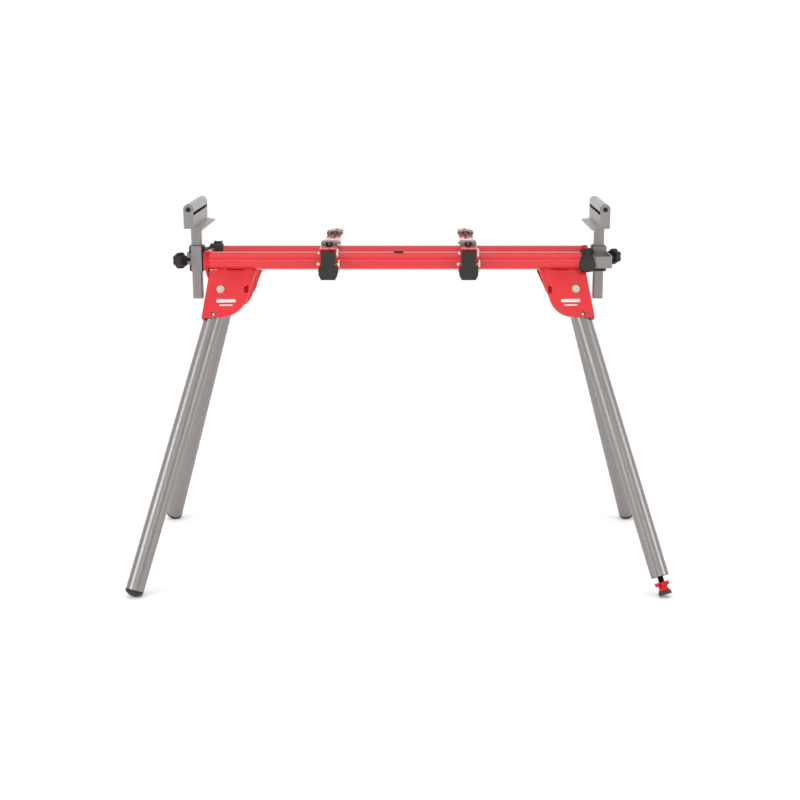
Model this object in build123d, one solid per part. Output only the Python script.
"""Folding stand for a mitre saw: twin-tube beam, four folding legs, two sliding tool rails
and two extension arms that carry height-adjustable work rollers.  Millimetres, +Z up,
+X along the beam, -Y towards the user.  The origin is on the floor under the beam's middle.
Pieces of the right end are drawn; the left end is the same, turned half a turn about Z."""
from build123d import *
import math
import os

os.makedirs("parts", exist_ok=True)

# ---------------------------------------------------------------- driving dimensions
SHEET = 3.0               # thickness of all bent sheet
RUN = 0.05                # radial running clearance
FAR = 700.0               # reach of a cutting tool that has to pass right through

BEAM_Z = 816.0            # height of the tube axes
TUBE_Y = 66.0             # half the distance between the tube axes
TUBE_R = 23.0
TUBE_BORE_R = 20.5
BEAM_HALF = 486.0         # half length of the extrusion
BEAM_END = 500.0          # half length over the end caps
WEB_T = 4.0

PIVOT_X, PIVOT_Y, PIVOT_Z = 456.0, 68.0, 736.5
PIVOT_STAGGER = 2.7       # crossed ends sit this much further out or in
FOOT_X, FOOT_Y = 672.0, 339.0
FOOT_STAGGER = 3.4
TOE = 3.0                 # degrees each folded leg is skewed, so that all four lie side by side
LEG_R, LEG_WALL = 23.0, 1.5
LEG_TOP = 19.0            # leg above its pivot
CHEEK_GAP = 24.0          # pivot plane to the inner face of a bracket cheek
FLANGE_TOP_X, FLANGE_TOP = 28.0, 47.5      # upper end of the folded flange, from the pivot
FOLD_T = SHEET * 1.02                      # the flange's thickness measured level
CHEEK_LOW = -75.0         # bottom of the outer cheek, from the pivot
CHEEK_SHOULDER = 59.5     # where the outer cheek meets the tube, from the pivot
OUTER_CHEEK = {"arc_r": 72.5, "low": CHEEK_LOW, "inboard": -96.0, "top": CHEEK_SHOULDER}
INNER_CHEEK = {"arc_r": 63.0, "low": -60.0, "inboard": -92.0, "top": 120.0}
LOCK_RADIUS = 67.0        # pivot to lock button
BUTTON_R = 5.0
BOLT_R = 5.0
FLANGE_R = 10.0           # washer face under the pivot bolt's head and nut
PIVOT_HEX = 15.0          # across flats

CAP_DOME_R = 30.0         # rubber foot
CAP_RIM = 5.5
ADJUST_TUBE_Z = 51.0      # height of the tube end above the adjustable foot
PAD_R, PAD_T = 16.5, 10.0
STAR_R, STAR_T = 19.0, 22.5
STUD_R = 8.0

ARM_R, ARM_WALL = 20.0, 2.0
ARM_LENGTH = 560.0
ARM_TUBE_END = 507.0
ARM_OUT = {"right": 3.7, "left": 10.5}     # how far each arm is drawn out at rest
COLLAR_Y, COLLAR_Z = -77.0, 844.0          # hinge of the arm's lock lever
PIN_R = 2.5
EAR_X0, EAR_X1 = 472.0, 493.0              # collar's ears
HUB_X0, HUB_X1 = 476.5, 488.5              # lever's arm between the ears
CLAMP_RING_R = 29.0                        # clamp collar, outside
LEVER_BORE_R, LEVER_R = 29.6, 34.5         # shell of the lock lever

POST_X, POST_W, POST_WALL = 518.0, 25.4, 2.0
POST_BOTTOM, HEAD_BOTTOM = 709.0, 904.0
COLLAR_W, COLLAR_LOW, COLLAR_TOP = 37.0, 782.0, 848.0
STRAP_LOW, STRAP_TOP = 799.0, 829.0
KNOB_R, KNOB_T = 21.0, 24.0
KNOB_Z = 812.5
KNOB_STEM_R = 4.0
KNOB_OUT = {"right": 53.0, "left": 43.0}   # post centre to the knob's near face

HEAD_HALF, HEAD_W = 125.0, 25.0
ROLLER_R, ROLLER_Z = 13.4, 952.0
AXLE_R = 4.0

RAIL_X = 179.0
RAIL_W, RAIL_TOP, RAIL_LOW = 37.0, 854.0, 839.4
RAIL_FRONT, RAIL_BACK = -125.0, 345.0
SLOT_W = 11.0
RAIL_SLOTS = ((-55.0, 90.0), (100.0, 50.0), (205.0, 110.0), (308.0, 50.0))   # centre, length
RAIL_BOLT_R = 4.0
RAIL_HEX = 12.0
CLAMP_Y, CLAMP_Z = -103.0, 797.0           # pivot of the rail's cam lever
PLATE_X = 18.6                             # inner face of a side plate
CAM_HALF_W = 24.3                          # cam lever, half width
HOOK_HALF_W = 15.0
PAD_Y = {"front": -34.0, "rear": 208.0}    # centres of the saw pads
SADDLE_W, SADDLE_L, SADDLE_H = 42.0, 45.0, 8.0

# rail bolts: (y, z) and how far the heads' seats stand from the rail's middle
FLANGE_BOLTS = {(2.0, 845.5): 18.5, (66.0, 847.0): 18.5}
PLATE_BOLTS = {(-101.0, 845.5): 21.6, (-102.0, 820.0): 21.6}
CAM_BOLT = {(CLAMP_Y, CLAMP_Z): 24.8}

parts = {}


# ---------------------------------------------------------------- helpers
def x_rod(radius, x0, x1, y, z):
    """Cylinder along X between two stations."""
    return Pos((x0 + x1) / 2, y, z) * Rot(0, 90, 0) * Cylinder(radius, abs(x1 - x0))


def y_rod(radius, y0, y1, x, z):
    """Cylinder along Y between two stations."""
    return Pos(x, (y0 + y1) / 2, z) * Rot(90, 0, 0) * Cylinder(radius, abs(y1 - y0))


def block(x0, x1, y0, y1, z0, z1):
    """Box between two corners."""
    middle = Pos((x0 + x1) / 2, (y0 + y1) / 2, (z0 + z1) / 2)
    return middle * Box(abs(x1 - x0), abs(y1 - y0), abs(z1 - z0))


def cone(low_r, high_r, low_z, height):
    """Cone standing on a station of its own axis."""
    return Pos(0, 0, low_z) * Cone(low_r, high_r, height, align=(Align.CENTER, Align.CENTER, Align.MIN))


def polygon(points):
    """Face with straight sides."""
    return make_face(Polyline(*points, close=True))


def yz_prism(face, x0, x1):
    """A face drawn in (y, z), extruded along X."""
    return Pos(x0, 0, 0) * extrude(Plane.YZ * face, x1 - x0)


def xz_prism(face, y0, y1):
    """A face drawn in (x, z), extruded along Y."""
    return Pos(0, y1, 0) * extrude(Plane.XZ * face, y1 - y0)


def sheet_profile(points, thickness=SHEET):
    """Section of a bent sheet whose middle line runs through the points, with mitred bends."""
    normals = []
    for (ax, ay), (bx, by) in zip(points, points[1:]):
        length = math.hypot(bx - ax, by - ay)
        normals.append(((ay - by) / length, (bx - ax) / length))
    one_side, other_side = [], []
    for (px, py), (nx, ny), (mx, my) in zip(points, normals[:1] + normals, normals + normals[-1:]):
        scale = thickness / 2 / (1 + nx * mx + ny * my)
        dx, dy = (nx + mx) * scale, (ny + my) * scale
        one_side.append((px + dx, py + dy))
        other_side.append((px - dx, py - dy))
    return polygon(one_side + other_side[::-1])


def lobed(radius, lobes, bite):
    """Star-knob outline: a disc with round hollows bitten from its rim."""
    face = Circle(radius)
    reach = radius + bite * 0.55
    for k in range(lobes):
        angle = 2 * math.pi * k / lobes
        face -= Pos(reach * math.cos(angle), reach * math.sin(angle)) * Circle(bite)
    return face


def hexagon(across_flats):
    """Hexagon by its width across flats."""
    return RegularPolygon(across_flats / math.sqrt(3), 6)


def top_edges(shape):
    """Edges round the shape's highest face."""
    return shape.faces().sort_by(Axis.Z)[-1].edges()


def opposite(shape):
    """The same thing at the other end: half a turn about the vertical."""
    return Rot(0, 0, 180) * shape


def both_ends(name, right, left=None):
    """Files a piece for each end; the left one is drawn at the right end too."""
    parts[f"{name}_right"] = right
    parts[f"{name}_left"] = opposite(left or right)


def arm_pieces(name, make):
    """Files a piece that belongs to an arm; make(side) draws it at the right end."""
    both_ends(name, make("right"), make("left"))


# ---------------------------------------------------------------- beam
def make_beam():
    """Two round tubes joined by a flat web."""
    section = Pos(0, BEAM_Z) * Rectangle(2 * TUBE_Y, WEB_T)
    for y in (-TUBE_Y, TUBE_Y):
        section += Pos(y, BEAM_Z) * Circle(TUBE_R)
    for y in (-TUBE_Y, TUBE_Y):
        section -= Pos(y, BEAM_Z) * Circle(TUBE_BORE_R)
    return yz_prism(section, -BEAM_HALF, BEAM_HALF)


def make_end_cap():
    """Cap that closes the rear tube and ties it to the front one, with a skirt below."""
    bridge = polygon([(TUBE_Y, 836), (-35, 836), (-35, 797), (TUBE_Y, 797)])
    skirt = polygon([(488.4, 800), (498, 800), (490.6, 772), (489.4, 772)])
    cap = yz_prism(Pos(TUBE_Y, BEAM_Z) * Circle(TUBE_R + 1.2), BEAM_HALF, BEAM_END)
    cap = chamfer(cap.faces().sort_by(Axis.X)[-1].edges(), 2.0)
    cap += yz_prism(bridge, BEAM_HALF, BEAM_END - 3)
    cap += xz_prism(skirt, TUBE_Y - 18, TUBE_Y + 18)
    return cap + x_rod(TUBE_BORE_R - 0.2, BEAM_HALF - 12, BEAM_HALF, TUBE_Y, BEAM_Z)


def make_beam_plug():
    """Oval plug on top of the front tube."""
    plug = Pos(0, -TUBE_Y - 4, BEAM_Z + 19) * extrude(SlotOverall(25, 12), 6.6)
    plug = chamfer(top_edges(plug), 1.0)
    return plug - x_rod(TUBE_R, -20, 20, -TUBE_Y, BEAM_Z)


# ---------------------------------------------------------------- legs
class Leg:
    """Pivot, foot and planes of one leg.  (out, up, normal) are the bracket's own axes."""

    def __init__(self, name, end, side):
        self.name = name
        self.side = side
        self.end = end
        self.crossed = -end * side        # +1 at the two legs beside an arm's open tube
        pivot_x = PIVOT_X - self.crossed * PIVOT_STAGGER
        foot_x = FOOT_X + self.crossed * FOOT_STAGGER
        toe = math.radians(TOE)
        self.pivot = Vector(end * pivot_x, side * PIVOT_Y, PIVOT_Z)
        self.foot = Vector(end * foot_x, side * FOOT_Y, 0)
        self.down = (self.foot - self.pivot).normalized()
        self.out = Vector(end * math.cos(toe), end * math.sin(toe), 0)
        across = self.down.dot(self.out)
        self.up = (self.out * across - self.down).normalized()
        normal = self.out.cross(self.up)
        self.hand = 1 if normal.Y * side > 0 else -1
        self.normal = normal * self.hand
        self.lean = math.asin(across)      # from the bracket's own vertical, radians
        self.bracket_plane = Plane(origin=self.pivot, x_dir=self.out, z_dir=normal)
        self.axis_plane = Plane(origin=self.pivot, x_dir=self.normal, z_dir=self.down)
        self.drop = -self.down.Z           # height lost per unit of leg

    def layer(self, face, near, far):
        """Extrude a face drawn in (out, up) between two distances along the outward normal."""
        low, high = sorted((near * self.hand, far * self.hand))
        return self.bracket_plane * (Pos(0, 0, low) * extrude(face, high - low))

    def along(self, shape):
        """Place a shape drawn with +Z down the leg and +X outward."""
        return self.axis_plane * shape

    def tube_end(self):
        """Distance from the pivot to the cut end of the leg's tube."""
        if self.name == "front_right":
            return (PIVOT_Z - ADJUST_TUBE_Z) / self.drop
        return self.dome_centre() + math.sqrt(CAP_DOME_R ** 2 - LEG_R ** 2) - CAP_RIM

    def dome_centre(self):
        """Distance from the pivot to the centre of the rubber foot's dome."""
        return (PIVOT_Z - CAP_DOME_R) / self.drop

    def pad_sole(self):
        """Distance from the pivot to the adjustable foot's sole."""
        lift = PAD_R * math.sqrt(1 - self.drop ** 2)
        return (PIVOT_Z - lift) / self.drop


LEGS = [
    Leg("front_left", -1, -1),
    Leg("front_right", 1, -1),
    Leg("rear_left", -1, 1),
    Leg("rear_right", 1, 1),
]


def heel(leg, low=CHEEK_LOW):
    """Outboard edge of a cheek that ends at this level, just clear of the leg's tube."""
    return -low * math.tan(leg.lean) + LEG_R / math.cos(leg.lean) + 0.7 + FOLD_T


def cheek_outline(leg, arc_r, low, inboard, top):
    """Quadrant-shaped cheek with a flared inner corner and straight sides above the flange."""
    angles = (math.radians(degrees) for degrees in (-95, -133, -170))
    start, middle, stop = ((arc_r * math.cos(angle), arc_r * math.sin(angle)) for angle in angles)
    upright = [(inboard, top), (12, top)]
    if top > CHEEK_SHOULDER:
        upright = [(inboard, CHEEK_SHOULDER), *upright, (12, CHEEK_SHOULDER)]
    edge = [*upright, (FLANGE_TOP_X, FLANGE_TOP), (heel(leg, low), low)]
    face = make_face([Polyline(stop, *edge, start), ThreePointArc(start, middle, stop)])
    return face - Circle(BOLT_R + 0.2)


def make_leg_bracket(leg):
    """Outer and inner cheeks with a folded outboard flange, coped to the beam."""
    lock = (LOCK_RADIUS * math.sin(leg.lean), -LOCK_RADIUS * math.cos(leg.lean))
    outer_face = cheek_outline(leg, **OUTER_CHEEK) - Pos(*lock) * Circle(BUTTON_R + 1.5)
    outer_face -= Pos(1 - LOCK_RADIUS, 0) * Rot(0, 0, 90) * SlotOverall(21, 11)
    outer = leg.layer(outer_face, CHEEK_GAP, CHEEK_GAP + SHEET)
    inner = leg.layer(cheek_outline(leg, **INNER_CHEEK), -CHEEK_GAP - SHEET, -CHEEK_GAP)
    edge = heel(leg)
    outside = [(FLANGE_TOP_X, FLANGE_TOP), (edge, CHEEK_LOW)]
    flange = polygon(outside + [(x - FOLD_T, up) for x, up in reversed(outside)])
    y = leg.side * TUBE_Y
    bracket = outer - x_rod(TUBE_R + 2.0, -FAR, FAR, y, BEAM_Z)
    for x in (-72, -6):
        tab = leg.layer(Pos(x, CHEEK_SHOULDER - 2) * Rectangle(18, 24), CHEEK_GAP, CHEEK_GAP + SHEET)
        bracket += outer & tab
    bracket += leg.layer(flange, -CHEEK_GAP - 1, CHEEK_GAP + 1)
    bracket += inner - block(-FAR, FAR, -200, 200, BEAM_Z - WEB_T / 2, BEAM_Z + 200)
    if leg.crossed > 0:
        bracket -= x_rod(CLAMP_RING_R + 0.8, leg.end * 462, leg.end * 560, y, BEAM_Z)
    return bracket - x_rod(TUBE_R, -FAR, FAR, y, BEAM_Z)


def make_pivot_bolt(leg):
    """Hexagon flange bolt through both cheeks, with its nut inside."""
    reach = CHEEK_GAP + SHEET
    bolt = leg.layer(Circle(BOLT_R), -reach, reach)
    bolt += leg.layer(Circle(FLANGE_R), reach, reach + 2.2)
    bolt += leg.layer(hexagon(PIVOT_HEX), reach + 2.2, reach + 7.5)
    bolt += leg.layer(Circle(FLANGE_R), -reach, -reach - 2)
    return bolt + leg.layer(hexagon(PIVOT_HEX), -reach - 2, -reach - 8)


def make_leg_tube(leg):
    """Round steel tube, drilled for the pivot bolt and the lock button."""
    end = leg.tube_end()
    tube = Cylinder(LEG_R, end + LEG_TOP) - Cylinder(LEG_R - LEG_WALL, end + LEG_TOP + 1)
    tube = leg.along(Pos(0, 0, (end - LEG_TOP) / 2) * tube)
    tube -= leg.layer(Circle(BOLT_R + RUN), -30, 30)
    button_hole = Pos(0, 0, LOCK_RADIUS) * Rot(0, 90, 0) * Pos(0, 0, 20) * Cylinder(BUTTON_R + 0.3, 12)
    return tube - leg.along(button_hole)


def make_lock_button(leg):
    """Domed spring button in the leg, seen through the cheek's hole."""
    pin = Pos(0, 0, 18.0) * Cylinder(BUTTON_R, 11.2)
    pin = fillet(pin.edges().sort_by(Axis.Z)[-1], 2.2)
    pin += Pos(0, 0, 15.9) * Cylinder(7.5, 7)
    return leg.along(Pos(0, 0, LOCK_RADIUS) * Rot(0, 90, 0) * pin)


def make_foot_cap(leg):
    """Rubber plug with a shallow dome that meets the floor."""
    end = leg.tube_end()
    stem = Pos(0, 0, end - 9) * Cylinder(LEG_R - LEG_WALL - 0.1, 18)
    rim = Pos(0, 0, end + 15) * Cylinder(LEG_R, 30)
    return leg.along(stem + (rim & Pos(0, 0, leg.dome_centre()) * Sphere(CAP_DOME_R)))


def make_adjustable_foot(leg):
    """End plug, threaded stud, star knob and rubber pad, all on the leg's axis."""
    end = leg.tube_end()
    sole = leg.pad_sole()
    knob_low = sole - PAD_T
    knob_top = knob_low - STAR_T
    plug = Pos(0, 0, end - 11) * Cylinder(LEG_R - LEG_WALL - 0.1, 22)
    plug += Pos(0, 0, end + 0.9) * Cylinder(LEG_R - 0.6, 1.8)
    plug -= Pos(0, 0, end) * Cylinder(STUD_R + RUN, 60)
    stud = Pos(0, 0, (knob_low + end - 60) / 2) * Cylinder(STUD_R, knob_low - end + 60)
    pad = Pos(0, 0, sole - PAD_T / 2) * Cylinder(PAD_R, PAD_T)
    pad = chamfer(pad.edges().sort_by(Axis.Z)[0], 2.5)
    knob = Pos(0, 0, knob_top) * extrude(lobed(STAR_R, 7, 4.5), 9.5)
    knob += cone(12.5, 11.5, knob_top + 9.5, 7)
    knob += cone(11.5, 14.5, knob_top + 16.5, 5.9)
    knob -= Pos(0, 0, knob_top + 11) * Cylinder(STUD_R + RUN, 40)
    shapes = {"leg_end_plug": plug, "adjuster_stud": stud, "adjuster_knob": knob, "adjuster_pad": pad}
    for name, shape in shapes.items():
        parts[name] = leg.along(shape)


# ---------------------------------------------------------------- extension arms (right end)
def collar_front():
    """Front view of the tube clamp: broad and round below, narrow on top."""
    return polygon([
        (472, 849), (493, 849), (497, 833), (504, 806), (504, 797), (499, 789), (490, 786),
        (478, 786), (468, 790), (463, 798), (463, 812), (468, 830),
    ])


def collar_back():
    """View of the clamp's back half: flat on top and broader."""
    return polygon([(467, 849), (498, 849), (507, 830), (507, 800), (497, 789), (476, 786), (467, 790)])


def make_arm_collar():
    """Clamp collar round the beam's open tube, with ears for its lever."""
    ring = x_rod(CLAMP_RING_R, 463, 507, -TUBE_Y, BEAM_Z)
    collar = ring & xz_prism(collar_front(), -120, -TUBE_Y)
    collar += ring & xz_prism(collar_back(), -TUBE_Y, -10)
    collar += block(EAR_X0, EAR_X1, COLLAR_Y - 8, COLLAR_Y + 10, 838, 846)
    collar += x_rod(6.5, EAR_X0, EAR_X1, COLLAR_Y, COLLAR_Z)
    collar -= block(HUB_X0 - 0.5, HUB_X1 + 0.5, -95, -60, 836.5, 860)
    collar -= x_rod(TUBE_R, 400, BEAM_HALF, -TUBE_Y, BEAM_Z)
    collar -= x_rod(ARM_R + 0.4, 400, 600, -TUBE_Y, BEAM_Z)
    web_room = WEB_T / 2 + 0.3
    collar -= block(400, BEAM_HALF + 0.2, -TUBE_Y, 0, BEAM_Z - web_room, BEAM_Z + web_room)
    return collar - x_rod(PIN_R, 400, 600, COLLAR_Y, COLLAR_Z)


def make_lever_pin():
    """Hinge pin of the arm's lock lever."""
    return x_rod(PIN_R, EAR_X0, EAR_X1, COLLAR_Y, COLLAR_Z)


def make_arm_lever():
    """Paddle lever that hugs the front of the clamp collar."""
    neck = polygon([(HUB_X0, 842), (HUB_X1, 842), (HUB_X1, 836), (499, 820), (468, 820), (HUB_X0, 836)])
    paddle = Pos(484, 808) * Circle(20) + neck
    arm = polygon([(-82, 848), (-76, 848), (-76, 840), (-88, 832), (-96, 832)])
    room = x_rod(LEVER_BORE_R, 460, 510, -TUBE_Y, BEAM_Z)
    lever = x_rod(LEVER_R, 464, 504, -TUBE_Y, BEAM_Z) - room
    lever &= xz_prism(paddle, -120, -TUBE_Y - 16)
    lever += yz_prism(arm, HUB_X0, HUB_X1) - room
    lever += x_rod(5.5, HUB_X0, HUB_X1, COLLAR_Y, COLLAR_Z)
    return lever - x_rod(PIN_R + RUN, 460, 510, COLLAR_Y, COLLAR_Z)


def make_arm_tube(side):
    """Extension tube that slides in the beam."""
    end = ARM_TUBE_END + ARM_OUT[side]
    start = end - ARM_LENGTH
    tube = x_rod(ARM_R, start, end, -TUBE_Y, BEAM_Z)
    return tube - x_rod(ARM_R - ARM_WALL, start - 1, end + 1, -TUBE_Y, BEAM_Z)


def knob_axis(post_x):
    """+Z of this place runs from the post's axis through its outboard rear corner."""
    return Pos(post_x, 0, KNOB_Z) * Rot(0, 0, 45) * Rot(0, 90, 0)


def make_arm_bracket(side):
    """Bent strap from the arm's end, round the back of the post, with a face plate on the guide."""
    middle = [(494, -87.5), (541.5, -87.5), (541.5, 12.5), (531.5, 22.5), (503, 22.5)]
    strap = Pos(0, 0, STRAP_LOW) * extrude(sheet_profile(middle), STRAP_TOP - STRAP_LOW)
    strap += block(503, 530, 21, 24, COLLAR_LOW, COLLAR_TOP)
    strap -= xz_prism(polygon([(490, 835), (497, 831), (507, 795), (490, 795)]), -95, -80)
    strap -= knob_axis(POST_X) * Pos(0, 0, 26) * Cylinder(KNOB_STEM_R + 0.6, 16)
    strap -= x_rod(ARM_R, 400, ARM_TUBE_END, -TUBE_Y, BEAM_Z)
    strap += block(POST_X - 16.5, POST_X + 16.5, -20.2, -18, STRAP_LOW, COLLAR_TOP - 1)
    strap += block(POST_X + 16, POST_X + 23, -20.2, -18, STRAP_LOW, STRAP_TOP)
    return Pos(ARM_OUT[side], 0, 0) * strap


def make_post_collar(side):
    """Plastic guide block for the post."""
    half = COLLAR_W / 2
    bore = POST_W / 2 + 0.5
    body = block(POST_X - half, POST_X + half, -18, 20.9, COLLAR_LOW, COLLAR_TOP)
    corner = body.edges().filter_by(Axis.Z).sort_by(lambda e: e.center().X + e.center().Y)[-1]
    body = chamfer(corner, 7.0)
    body = chamfer(top_edges(body), 2.0)
    body -= block(POST_X - bore, POST_X + bore, -bore, bore, COLLAR_LOW - 1, COLLAR_TOP + 1)
    body -= knob_axis(POST_X) * Pos(0, 0, 24) * Cylinder(KNOB_STEM_R + 0.6, 20)
    return Pos(ARM_OUT[side], 0, 0) * body


def make_clamp_knob(side):
    """Star knob on its screw, which presses on the post's corner."""
    near = KNOB_OUT[side]
    tip = POST_W / 2 * math.sqrt(2) - 0.2
    knob = Pos(0, 0, (tip + near) / 2) * Cylinder(KNOB_STEM_R, near - tip)
    knob += cone(7, 11, near - 8, 8)
    head = extrude(lobed(KNOB_R, 6, 6.5), KNOB_T)
    knob += Pos(0, 0, near) * chamfer(top_edges(head), 2.5)
    return knob_axis(POST_X + ARM_OUT[side]) * knob


# ---------------------------------------------------------------- roller supports (right end)
def over_post(side, shape):
    """Moves a shape drawn about x = 0 to the post."""
    return Pos(POST_X + ARM_OUT[side], 0, 0) * shape


def make_post(side):
    """Square tube post."""
    bore = POST_W - 2 * POST_WALL
    section = RectangleRounded(POST_W, POST_W, 3) - RectangleRounded(bore, bore, 1)
    return over_post(side, Pos(0, 0, POST_BOTTOM) * extrude(section, HEAD_BOTTOM - POST_BOTTOM))


def make_head(side):
    """Bent-sheet head: trough, end cheeks and the ledge on the inboard side."""
    half = HEAD_W / 2
    wall = half - SHEET / 2
    low = HEAD_BOTTOM + SHEET / 2
    trough = sheet_profile([(-wall, 937), (-wall, low), (wall, low), (wall, 941)])
    head = xz_prism(trough, 1 - HEAD_HALF, HEAD_HALF - 1)
    head += xz_prism(sheet_profile([(2 - half, low), (-33, low - 4)]), -HEAD_HALF, HEAD_HALF)
    cheek = polygon([
        (-half, HEAD_BOTTOM), (half - 5, HEAD_BOTTOM), (half, HEAD_BOTTOM + 6),
        (half, ROLLER_Z), (-half, ROLLER_Z),
    ])
    cheek += Pos(0, ROLLER_Z) * Circle(half)
    cheek -= Pos(0, ROLLER_Z) * Circle(AXLE_R + 0.1)
    head += xz_prism(cheek, -HEAD_HALF, SHEET - HEAD_HALF)
    head += xz_prism(cheek, HEAD_HALF - SHEET, HEAD_HALF)
    notch = POST_W / 2
    head -= block(-notch, notch, -notch, notch, HEAD_BOTTOM - 10, HEAD_BOTTOM)
    return over_post(side, head)


def make_roller(side):
    """Steel tube roller with end discs."""
    reach = HEAD_HALF - SHEET - 0.6
    roller = y_rod(ROLLER_R, -reach, reach, 0, ROLLER_Z)
    roller -= y_rod(ROLLER_R - 2, 10 - reach, reach - 10, 0, ROLLER_Z)
    return over_post(side, roller - y_rod(AXLE_R + RUN, -reach - 1, reach + 1, 0, ROLLER_Z))


def make_axle(side):
    """Roller axle with a low round head at each end."""
    axle = y_rod(AXLE_R, -HEAD_HALF, HEAD_HALF, 0, ROLLER_Z)
    for sign in (-1, 1):
        axle += y_rod(6.0, sign * HEAD_HALF, sign * (HEAD_HALF + 2.5), 0, ROLLER_Z)
        axle -= y_rod(3.0, sign * (HEAD_HALF + 1.0), sign * (HEAD_HALF + 3), 0, ROLLER_Z)
    return over_post(side, axle)


# ---------------------------------------------------------------- tool rails (drawn about x = 0)
def bolt_holes(bolts):
    """Holes along X for the bolts at these places."""
    return [x_rod(RAIL_BOLT_R + 0.1, -60, 60, y, z) for y, z in bolts]


def make_rail():
    """Inverted channel with four slots for saw bolts."""
    half = RAIL_W / 2 - SHEET / 2
    top = RAIL_TOP - SHEET / 2
    section = sheet_profile([(-half, RAIL_LOW), (-half, top), (half, top), (half, RAIL_LOW)])
    rail = xz_prism(section, RAIL_FRONT, RAIL_BACK)
    for centre, length in RAIL_SLOTS:
        rail -= Pos(0, centre, RAIL_TOP - 6) * Rot(0, 0, 90) * extrude(SlotOverall(length, SLOT_W), 12)
    rail -= bolt_holes([*FLANGE_BOLTS, *PLATE_BOLTS])
    lever_room = CLAMP_Y - 8.5
    return rail - block(-20, 20, RAIL_FRONT - 1, lever_room, 830, RAIL_TOP - SHEET)


def make_side_plates():
    """Two plates that reach from the rail down past the front tube."""
    outline = polygon([
        (-113, 852), (-40, 852), (-40, 838), (-85, 838), (-90, 800),
        (-92, 789), (-98, 785), (-108, 785), (-112, 790),
    ])
    plate = yz_prism(outline, PLATE_X, PLATE_X + SHEET)
    plate -= x_rod(TUBE_R + 1.2, 0, 60, -TUBE_Y, BEAM_Z)
    plate -= bolt_holes([*PLATE_BOLTS, *CAM_BOLT])
    return Compound(children=[plate, mirror(plate, Plane.YZ)])


def make_rear_hook():
    """Fixed hook behind the rear tube."""
    tube_room = x_rod(TUBE_R + 0.6, -20, 20, TUBE_Y, BEAM_Z)
    ring = x_rod(TUBE_R + 5.6, -HOOK_HALF_W, HOOK_HALF_W, TUBE_Y, BEAM_Z) - tube_room
    ring -= block(-20, 20, 20, TUBE_Y, 700, 900)
    ring -= yz_prism(polygon([(60, 816), (120, 790), (120, 760), (60, 760)]), -20, 20)
    seat = block(-HOOK_HALF_W, HOOK_HALF_W, 54, 74, 841, RAIL_TOP - SHEET - 0.2) - tube_room
    return ring + seat - x_rod(RAIL_BOLT_R + 0.1, -20, 20, 66, 847)


def make_rail_bolts():
    """Hexagon bolts with nuts, and the cam lever's pivot bolt."""
    bolts = []
    for (y, z), reach in {**FLANGE_BOLTS, **PLATE_BOLTS, **CAM_BOLT}.items():
        bolt = x_rod(RAIL_BOLT_R, -reach, reach, y, z)
        prism = Pos(0, y, z) * Rot(0, 90, 0) * extrude(hexagon(RAIL_HEX), 40, both=True)
        for sign in (-1, 1):
            bolt += x_rod(6.5, sign * reach, sign * (reach + 5), y, z) & prism
        bolts.append(bolt)
    return Compound(children=bolts)


def make_cam_lever():
    """Cam lever: broad handle in front of the beam, ears outside the side plates, cam between."""
    side_line = [(-115.5, 847), (-115.5, 829), (-120, 818), (-120, 786), (-124.5, 774)]
    front = polygon([
        (-18, 850), (18, 850), (18, 812), (CAM_HALF_W, 800), (CAM_HALF_W, 786), (16, 770),
        (-16, 770), (-CAM_HALF_W, 786), (-CAM_HALF_W, 800), (-18, 812),
    ])
    lever = yz_prism(sheet_profile(side_line, 4), -CAM_HALF_W, CAM_HALF_W) & xz_prism(front, -140, -60)
    pivot = Pos(CLAMP_Y, CLAMP_Z)
    ear = pivot * Circle(8.5)
    ear += polygon([(-119, 806), (CLAMP_Y, CLAMP_Z + 8.5), (CLAMP_Y, CLAMP_Z - 8.5), (-119, 788)])
    lever += yz_prism(ear, 22.0, CAM_HALF_W)
    lever += yz_prism(ear, -CAM_HALF_W, -22.0)
    to_tube = math.degrees(math.atan2(BEAM_Z - CLAMP_Z, -TUBE_Y - CLAMP_Y))
    cam = pivot * (Circle(8) + Rot(0, 0, to_tube) * Pos(7, 0) * SlotOverall(22, 10))
    cam += polygon([(-119, 804), (CLAMP_Y, CLAMP_Z + 8), (CLAMP_Y, CLAMP_Z - 8), (-119, 790)])
    lever += yz_prism(cam, -11, 11)
    return lever - x_rod(RAIL_BOLT_R + RUN, -40, 40, CLAMP_Y, CLAMP_Z)


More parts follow.
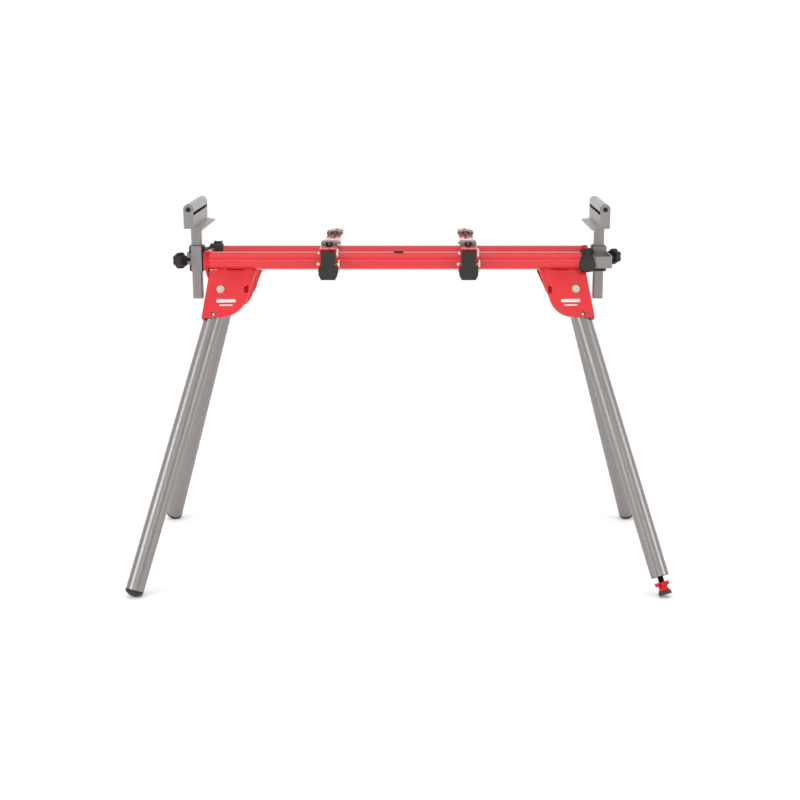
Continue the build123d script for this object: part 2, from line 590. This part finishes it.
def make_saddle(place):
    """Saw pad on the rail: notched steel block with its clamping stud and nut."""
    y = PAD_Y[place]
    front = y - SADDLE_L / 2
    stud_y = front + 7
    low = RAIL_TOP + 0.2
    nut = hexagon(13)
    body = block(-SADDLE_W / 2, SADDLE_W / 2, front, y + SADDLE_L / 2, low, low + SADDLE_H)
    body = chamfer(top_edges(body), 1.5)
    body -= Pos(0, stud_y, low - 1) * Cylinder(8.5, 30)
    body -= block(-8.5, 8.5, front - 1, stud_y, low - 1, low + 20)
    stud = Pos(0, stud_y, (842 + low + 9) / 2) * Cylinder(4.0, low + 9 - 842)
    stud += Pos(0, stud_y, low) * extrude(nut, 5)
    stud += Pos(0, stud_y, 844) * extrude(nut, 6.5)
    return Compound(children=[body, stud])


# ---------------------------------------------------------------- build everything
parts["beam_extrusion"] = make_beam()
both_ends("end_cap", make_end_cap())
parts["beam_plug"] = make_beam_plug()

for leg in LEGS:
    parts[f"leg_bracket_{leg.name}"] = make_leg_bracket(leg)
    parts[f"leg_tube_{leg.name}"] = make_leg_tube(leg)
    parts[f"lock_button_{leg.name}"] = make_lock_button(leg)
    if leg.name == "front_right":
        make_adjustable_foot(leg)
    else:
        parts[f"foot_cap_{leg.name}"] = make_foot_cap(leg)
parts["leg_pivot_bolts"] = Compound(children=[make_pivot_bolt(leg) for leg in LEGS])

both_ends("arm_collar", make_arm_collar())
both_ends("arm_lock_lever", make_arm_lever())
parts["arm_lever_pins"] = Compound(children=[make_lever_pin(), opposite(make_lever_pin())])

arm_pieces("arm_tube", make_arm_tube)
arm_pieces("arm_end_bracket", make_arm_bracket)
arm_pieces("post_collar", make_post_collar)
arm_pieces("clamp_knob", make_clamp_knob)
arm_pieces("support_post", make_post)
arm_pieces("roller_head", make_head)
arm_pieces("work_roller", make_roller)
arm_pieces("roller_axle", make_axle)

for side, x in (("left", -RAIL_X), ("right", RAIL_X)):
    place = Pos(x, 0, 0)
    parts[f"tool_rail_{side}"] = place * make_rail()
    parts[f"rail_side_plates_{side}"] = place * make_side_plates()
    parts[f"rail_rear_hook_{side}"] = place * make_rear_hook()
    parts[f"rail_bolts_{side}"] = place * make_rail_bolts()
    parts[f"rail_cam_lever_{side}"] = place * make_cam_lever()
    for spot in PAD_Y:
        parts[f"saw_pad_{side}_{spot}"] = place * make_saddle(spot)

for node, shape in parts.items():
    export_step(shape, f"parts/{node}.step")
    print(node, round(shape.volume), shape.is_valid)
